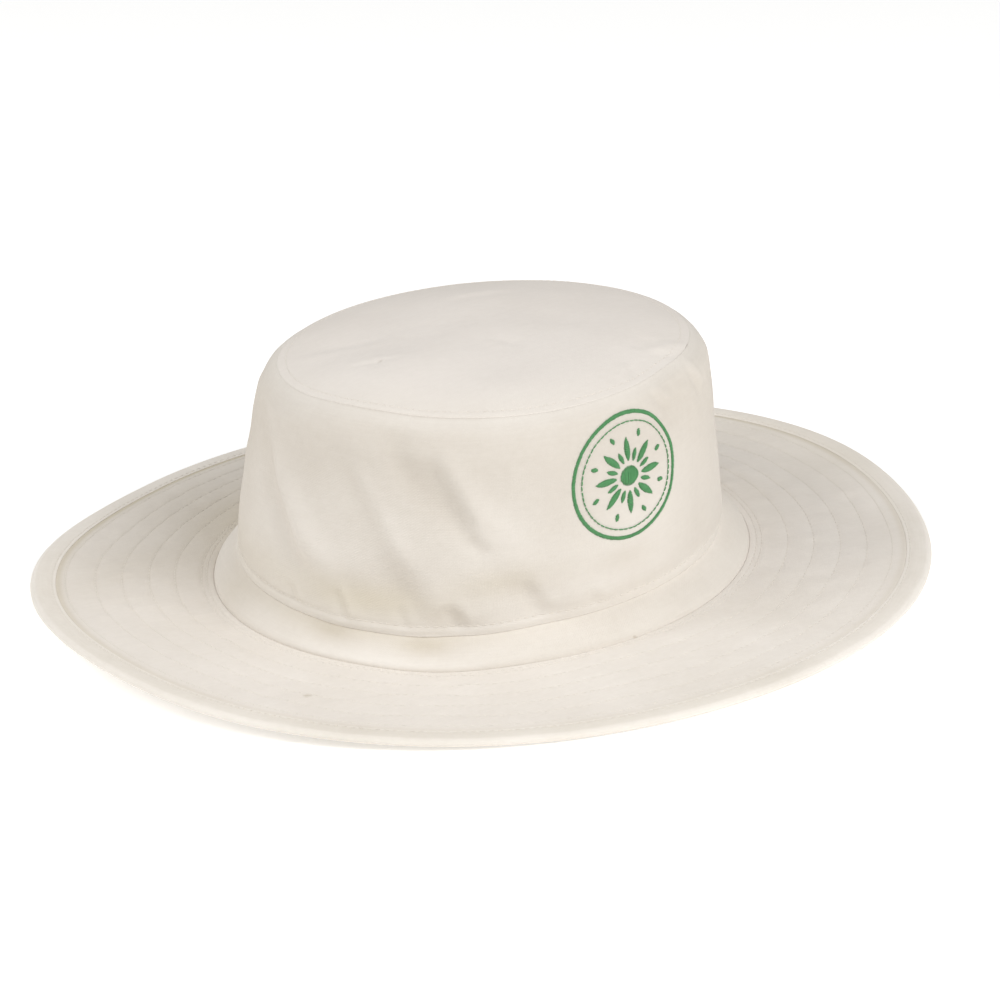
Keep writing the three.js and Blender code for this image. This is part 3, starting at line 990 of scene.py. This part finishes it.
def hat_band(material):
    angle = ANGLES[:, None]
    rows, inner_rows = ROWS["band"]
    up = close_ends(rows, 0.5) + 0 * angle
    outer = band_face(angle, up)
    out = foot_out(ANGLES)[:, None]
    tuck = np.array([0.0, 0.035, 0.07]) + 0 * angle
    tucked = crown_inner(angle, tuck) - crown_out(angle, tuck) * SEAM_GAP
    tucked[:, 0, 2] = outer[:, -1, 2]
    inside = (tucked - out * CLOTH["band"])[:, ::-1]
    inner_up = np.linspace(0.85, 0.0, inner_rows) + 0 * angle
    inner = band_face(angle, inner_up) - out * CLOTH["band"]
    inner = lift(inner, -CLOTH["band"] * inner_up * 1.2)
    inner[:, -1] = outer[:, 0] - np.array([0, 0, CLOTH["brim"]])
    sections = np.concatenate([outer, tucked, inside[:, :2], inner], 1)
    # Painted shade and light in soft patches, and painted shade along the foot seam and under the lip
    shade = shade_of(
        sections,
        painted_tones_of("band", angle, up),
        0.6 * painted_seam_shade("foot", angle, up * BAND_SLOPE, 0.4),
        0.6 * painted_seam_shade("foot", angle, up * BAND_SLOPE, 1.5),
        painted_seam_shade("lip", angle, (1 - up) * BAND_SLOPE, 0.9),
        # Painted shade in the band's dents and wrinkles
        np.clip(-0.22 * band_wrinkle(angle, up), 0, 0.4),
    )
    cloth = cloth_grid(sections, ROUND_MM["band"])
    piece = ring("hat_band_cloth", sections, cloth, shade, material)
    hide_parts("hat_band")
    return piece


# The brim and its binding

# How high each channel of the quilting puffs up, how deep and wide its rows' grooves are, and how
# far from a row it puckers
QUILT = {"puff": 0.22, "groove": 0.1, "groove_width": 0.9, "pucker": 2.6}


def quilt_rows(angle):
    """How far each row of quilting lies from the brim's edge."""
    drift = sum(row["drift"] * near_angle(row, angle) for row in ROW_DRIFT)
    return [QUILT_ROWS[0] + drift] + [row + 0 * drift for row in QUILT_ROWS[1:]]


def quilt_height(angle, from_edge, place):
    """Height of the quilting over the brim's line, at a distance from the edge."""
    height = 0.0
    stitched = quilt_rows(angle)
    rows = [BRIM["bindingWidth"]] + stitched + [BRIM_WIDTH]
    for inner, outer in zip(rows[1:], rows[:-1]):
        share = np.clip((from_edge - outer) / (inner - outer), 0, 1)
        height = height + QUILT["puff"] * np.sin(math.pi * share)
    for row in stitched:
        height = height - QUILT["groove"] * bell((from_edge - row) / QUILT["groove_width"])
    pucker = sum(bell((from_edge - row) / QUILT["pucker"]) for row in stitched)
    return shows("quilting", angle) * height + (1 + pucker) * ripple("quilting", place)


# The brim's other rows of stitches: one beside the band's foot, and one through the tape, at its
# distance from the edge and its heights over and under the brim's line
FOOT_STITCH = 2.7
TAPE_STITCH = {"from_edge": 8.0, "above": 0.23, "below": -2.62}


def brim_face(angle, share):
    place = brim_point(angle, share)
    from_edge = (1 - share) * BRIM_WIDTH
    fade = np.clip(from_edge / 10.0 - 0.9, 0, 1) * np.clip(share * 12, 0, 1)
    height = fade * (quilt_height(angle, from_edge, place) + ripple("brim", place))
    from_foot = share * BRIM_WIDTH
    foot_ridge = 0.1 * bell((from_foot - 1.3) / 0.8) - 0.06 * bell((from_foot - FOOT_STITCH) / 0.5)
    return lift(place, height + foot_ridge)


def brim(material):
    angle = ANGLES[:, None]
    rows, inner_rows = ROWS["brim"]
    tape = BRIM["bindingWidth"]
    start = CLOSED_SEAM / BRIM_WIDTH
    end = 1 - (tape - 2.0) / BRIM_WIDTH
    share = np.linspace(start, end, rows) + 0 * angle
    upper = brim_face(angle, share)
    from_edge = (1 - share) * BRIM_WIDTH
    upper = lift(upper, -np.interp(tape - from_edge, [-0.5, 0.0, 2.0], [0.0, 0.14, 0.33]))
    low_share = np.linspace(end, start, inner_rows) + 0 * angle
    low_tuck = np.clip((low_share - 1) * BRIM_WIDTH + tape + 0.6, 0, 0.6)
    lower = lift(brim_point(angle, low_share), low_tuck - CLOTH["brim"])
    sections = np.concatenate([upper, lower], 1)
    from_foot = share * BRIM_WIDTH
    # Painted shade beside the tape's inner edge, grey and yellow, along the quilting rows, the row by the
    # foot and the foot seam, and painted shade and light in soft patches
    beside_tape = painted_seam_shade("tape", angle, from_edge - tape - 0.7, 1.5)
    shade = shade_of(
        sections,
        painted_tones_of("brim", angle, share) + beside_tape[..., None],
        *[painted_seam_shade("quilting", angle, from_edge - row, 0.7) for row in quilt_rows(angle)],
        painted_seam_shade("quilting", angle, from_foot - FOOT_STITCH, 0.45),
        painted_seam_shade("foot", angle, from_foot, 0.7),
    )
    # The brim is cut flat, so its weave runs straight across the plan
    cloth = np.pad(sections, ((0, 1), (0, 1), (0, 0)), "wrap")
    cloth[..., 2] = 0
    piece = ring("brim_cloth", sections, cloth, shade, material)
    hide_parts("brim")
    return piece


def binding_frame(angle):
    """The edge of the brim's upper line, the step inward of one millimetre, and the direction up."""
    edge = brim_point(angle, np.ones_like(angle))
    inward = (brim_point(angle, np.zeros_like(angle)) - edge) / BRIM_WIDTH
    around = np.cross(np.array([0.0, 0.0, 1.0]), foot_out(angle))
    up = unit(np.cross(around, inward))
    return edge, inward, up * np.sign(up[..., 2:3])


# The binding's section from the lip of its upper fold, round the edge, to the lip of its lower one
BINDING_LINE = [
    (9.3, -0.12), (9.36, -0.06), (9.3, 0.02), (9.0, 0.13), (8.5, 0.2), (8.0, 0.17), (7.6, 0.21), (7.0, 0.32),
    (6.2, 0.44), (5.2, 0.46), (4.2, 0.46), (3.2, 0.42), (2.3, 0.32), (1.5, 0.08), (0.8, -0.26), (0.3, -0.75),
    (0.05, -1.25), (0.15, -1.8), (0.6, -2.3), (1.2, -2.6), (2.0, -2.72), (3.2, -2.75), (4.5, -2.75),
    (6.0, -2.75), (7.4, -2.72), (7.9, -2.6), (8.4, -2.72), (9.0, -2.75), (9.3, -2.6), (9.35, -2.3),
    (7.2, -2.25), (6.9, -1.2), (7.2, -0.3),
]


def brim_binding(material):
    around = 720
    angles = np.arange(around) * 360.0 / around
    edge, inward, up = binding_frame(angles)
    wobble = ripple("tape", edge)[:, None]
    sections = np.stack([edge + inward * a + up * (b + wobble * (b > 0.2)) for a, b in BINDING_LINE], 1)
    # Painted shade and light in soft patches round the tape
    shade = painted_tones_of("binding", angles[:, None], np.zeros(len(BINDING_LINE)))
    # Painted light: the tape is painted a little lighter along its inner fold and where it rolls over the
    # edge
    for j, (a, b) in enumerate(BINDING_LINE):
        shade[:, j, 0] -= 0.15 * ((a > 7.9 and b > 0) or a < 1.6)
    cloth = cloth_grid(sections, ROUND_MM["binding"])
    piece = ring("brim_binding_tape", sections, cloth, shade, material)
    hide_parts("brim_binding")
    return piece


# Threads

def strands(name, centres, outs, girth, material, sides=5):
    """Short round threads along centres[n, m], with the outward direction and the radius at each point."""
    count, steps = centres.shape[:2]
    ahead = unit(np.gradient(centres, axis=1))
    side = unit(np.cross(ahead, outs))
    up = np.cross(side, ahead)
    turns = np.arange(sides) * 2 * math.pi / sides
    turned = side[:, :, None] * np.cos(turns)[:, None] + up[:, :, None] * np.sin(turns)[:, None]
    points = (centres[:, :, None] + turned * np.asarray(girth)[..., None, None]).reshape(-1, 3)
    here = np.arange(len(points)).reshape(count, steps, sides)
    after = np.roll(here, -1, 2)
    quads = np.stack([here[:, :-1], after[:, :-1], after[:, 1:], here[:, 1:]], -1).reshape(-1, 4)
    caps = np.stack([here[:, 0, ::-1], here[:, -1]], 1).reshape(-1, sides).tolist()
    corners = 4 * len(quads) + sides * len(caps)
    return build(name, points, quads, caps, np.zeros((corners, 3)), np.zeros((len(points), 2)), material)


STITCH = {"pitch": 3.0, "length": 2.35, "radius": 0.16, "heights": (-0.13, 0.03, 0.03, -0.13)}


def stitch_path(path, outs):
    """Centres and outward directions of a row of stitches along a closed path."""
    path, outs = (np.concatenate([rows, rows[:1]]) for rows in (path, outs))
    lengths = np.concatenate([[0], np.cumsum(np.linalg.norm(np.diff(path, axis=0), axis=1))])
    count = int(round(lengths[-1] / STITCH["pitch"]))
    starts = np.arange(count) * lengths[-1] / count
    at = starts[:, None] + np.array([0.0, 0.22, 0.78, 1.0]) * STITCH["length"]
    centres, directions = (
        np.stack([np.interp(at, lengths, rows[:, k]) for k in range(3)], -1) for rows in (path, outs)
    )
    directions = unit(directions)
    return centres + directions * np.array(STITCH["heights"])[:, None], directions


def stitch_rows(name, rows, material):
    centres, outs = (np.concatenate(parts) for parts in zip(*[stitch_path(*row) for row in rows]))
    girth = np.array([0.45, 1.0, 1.0, 0.45]) * STITCH["radius"]
    return strands(name, centres, outs, girth, material)


ROUND = np.arange(0, 360, 0.25)
UPS = np.tile([0.0, 0.0, 1.0], (len(ROUND), 1))


def brim_rows(lower):
    rows = []
    ups = -UPS if lower else UPS
    for distance in quilt_rows(ROUND) + [BRIM_WIDTH - FOOT_STITCH + 0 * ROUND]:
        share = 1 - distance / BRIM_WIDTH
        path = lift(brim_point(ROUND, share), -CLOTH["brim"]) if lower else brim_face(ROUND, share)
        rows.append((path, ups))
    edge, inward, up = binding_frame(ROUND)
    path = edge + inward * TAPE_STITCH["from_edge"] + up * TAPE_STITCH["below" if lower else "above"]
    return rows + [(path, ups)]


def crown_rows():
    rise = np.full(len(ROUND), HEM["stitch"] / CROWN_HEIGHT)
    reach = np.full(len(ROUND), 1 - TIP_SEAM["topstitch"] / TIP_REACH)
    return [(crown_outer(ROUND, rise), crown_out(ROUND, rise)), (tip_outer(ROUND, reach), UPS)]


# The badge: a plain embroidered sun in a ring

def circle(radius, pitch):
    """Directions round a circle, one for each pitch of its length, with the first one again."""
    count = int(2 * math.pi * radius / pitch)
    turns = np.arange(count + 1) * 2 * math.pi / count
    return np.stack([np.cos(turns), np.sin(turns)], -1)


def satin_ring(radius, width, pitch):
    ray = circle(radius, pitch)[:-1]
    return ray * (radius - width / 2), ray * (radius + width / 2)


def chain_ring(radius, pitch):
    points = radius * circle(radius, pitch)
    return points[:-1], mix(points[:-1], points[1:], 0.86)


def satin_leaf(turn, near, far, half_width, pitch):
    along = np.arange(near, far, pitch)
    share = np.clip((along - near + pitch / 2) / (far - near), 0.0, 1.0)
    half = half_width * np.sin(math.pi * share) ** 0.7
    ahead = np.array([math.cos(turn), math.sin(turn)])
    side = np.array([-ahead[1], ahead[0]])
    middle = along[:, None] * ahead
    reach = half[:, None] * (side + SATIN["slant"] * ahead)
    return middle - reach, middle + reach


def satin_disc(radius, pitch):
    along = np.arange(-radius + pitch / 2, radius, pitch)
    half = np.sqrt(radius ** 2 - along ** 2)
    return np.stack([along, -half], -1), np.stack([along, half], -1)


# Threads of the badge: how far apart and how slanted they lie, their radius, and how uneven they are
SATIN = {"pitch": 0.36, "slant": 0.45, "radius": 0.23, "uneven": 0.05, "uneven_height": 0.02, "seed": 77}

# Rays of the badge's sun, eight of each: how far each kind is turned, its ends and its half width
SUN_RAYS = table(
    "turn near far halfWidth",
    (0.0, 5.4, 13.4, 1.25),
    (22.5, 5.4, 9.6, 0.8),
    (22.5, 13.6, 16.0, 0.8),
)


def badge(material):
    pitch = SATIN["pitch"]
    shapes = [satin_ring(BADGE["radius"], 1.25, pitch), chain_ring(18.6, 1.9), satin_disc(3.6, pitch)]
    for k in range(8):
        for ray in SUN_RAYS:
            turn = math.radians(90 + 45 * k + ray["turn"])
            shapes.append(satin_leaf(turn, ray["near"], ray["far"], ray["halfWidth"], pitch))
    starts, ends = (np.concatenate(parts) for parts in zip(*shapes))
    random = np.random.default_rng(SATIN["seed"])
    starts, ends = (spots + random.normal(0, SATIN["uneven"], spots.shape) for spots in (starts, ends))
    shares = np.array([0.0, 0.18, 0.5, 0.82, 1.0])
    flat = starts[:, None] + (ends - starts)[:, None] * shares[:, None]
    # The design is laid on the crown by its size there, for each degree and for the whole rise
    angle, rise = np.array([BADGE["angle"]]), np.array([BADGE["rise"]])
    degree = np.linalg.norm(crown_point(angle + 0.5, rise) - crown_point(angle - 0.5, rise))
    whole = np.linalg.norm(crown_point(angle, rise + 0.05) - crown_point(angle, rise - 0.05)) / 0.1
    angle = BADGE["angle"] + flat[..., 0] / degree
    rise = BADGE["rise"] + flat[..., 1] / whole
    outs = crown_out(angle, rise)
    arch = np.clip(np.linalg.norm(ends - starts, axis=-1) * 0.2, 0.12, 0.4)[:, None]
    uneven = random.normal(0, SATIN["uneven_height"], (len(starts), 1))
    heights = 0.05 + arch * np.array([-0.4, 0.75, 1.0, 0.75, -0.4]) + uneven
    centres = crown_face(angle, rise) + outs * heights[..., None]
    girth = np.array([0.6, 1.0, 1.0, 1.0, 0.6]) * SATIN["radius"]
    return strands("badge_threads", centres, outs, girth, material)


# The cotton of each slot: its colour when clean and when fully mottled and shaded, its ribs' angle and
# its relief. The crown's side is painted darker and the tip, band, brim and binding lighter: painted
# shade and light on one cloth.
COTTONS = named(
    "name clean greyed ribs relief_mm",
    ("crown_cotton", "crown_drill", (0.81, 0.765, 0.706), (0.612, 0.558, 0.488), 58.0, 0.1),
    ("tip_cotton", "tip_drill", (0.85, 0.8, 0.748), (0.665, 0.61, 0.555), 63.0, 0.1),
    ("band_cotton", "band_drill", (0.865, 0.82, 0.76), (0.64, 0.58, 0.5), 45.0, 0.1),
    ("brim_cotton", "brim_drill", (0.86, 0.81, 0.755), (0.62, 0.56, 0.475), 52.0, 0.1),
    ("binding_cotton", "binding_tape", (0.865, 0.815, 0.75), (0.58, 0.52, 0.42), 40.0, 0.09),
)


def main():
    add_camera()
    add_lights()
    add_floor()
    makers = [crown_side, crown_top, hat_band, brim, brim_binding]
    for make, slot in zip(makers, COTTONS):
        piece = make(cotton(**COTTONS[slot]))
        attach(piece, "root")
    cream_thread = thread("cream_thread", (0.825, 0.775, 0.71), (0.77, 0.715, 0.635), 0.15)
    green_thread = thread("green_thread", (0.1, 0.33, 0.125), (0.06, 0.235, 0.08), 0.25)
    sewn = [
        stitch_rows("brim_stitches", brim_rows(lower=False), cream_thread),
        stitch_rows("brim_lower_stitches", brim_rows(lower=True), cream_thread),
        stitch_rows("crown_stitches", crown_rows(), cream_thread),
        badge(green_thread),
    ]
    for piece in sewn:
        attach(piece, "root")


main()
